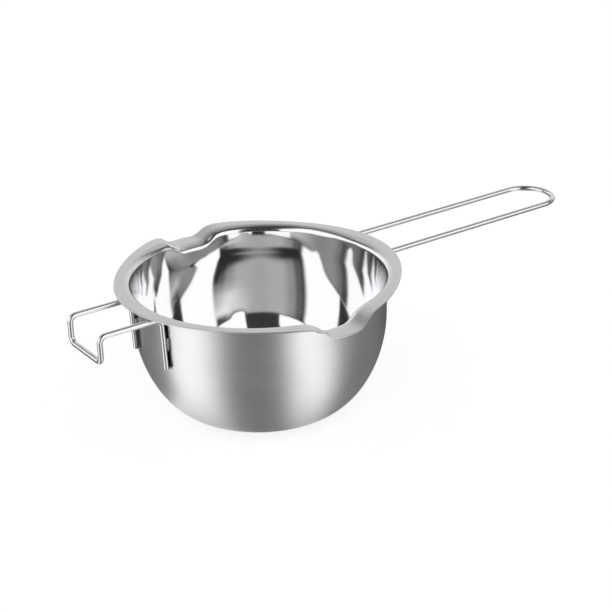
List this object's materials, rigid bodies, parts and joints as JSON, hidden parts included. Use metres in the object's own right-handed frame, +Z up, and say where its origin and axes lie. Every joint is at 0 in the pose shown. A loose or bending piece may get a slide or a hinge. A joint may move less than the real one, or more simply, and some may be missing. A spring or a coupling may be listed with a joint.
{
  "type": "melting pot",
  "caption": "Round steel melting pot with a flanged rim, pressed pouring spouts, a long looped wire handle and a bent wire hook that rests on the rim of a larger pan.",
  "frame": {"origin": "middle of the flat underside of the bowl, on the surface that the pot stands on", "axes": "+Z up along the bowl's axis, +X along the handle away from the bowl, the spouts at +Y and -Y"},
  "size_m": [0.2865, 0.1508, 0.068],
  "materials": {
    "bowl_steel": "satin outside and on the flange, polished inside",
    "wire_steel": "polished round wire",
    "weld_steel": "dull weld bead"
  },
  "bodies": {
    "root": {"bowl": "bowl_steel", "handle_loop": "wire_steel", "rest_hook": "wire_steel", "handle_weld_1": "weld_steel", "handle_weld_2": "weld_steel", "handle_weld_3": "weld_steel", "handle_weld_4": "weld_steel", "hook_weld_1": "weld_steel", "hook_weld_2": "weld_steel", "hook_weld_3": "weld_steel", "hook_weld_4": "weld_steel"}
  },
  "joints": []
}
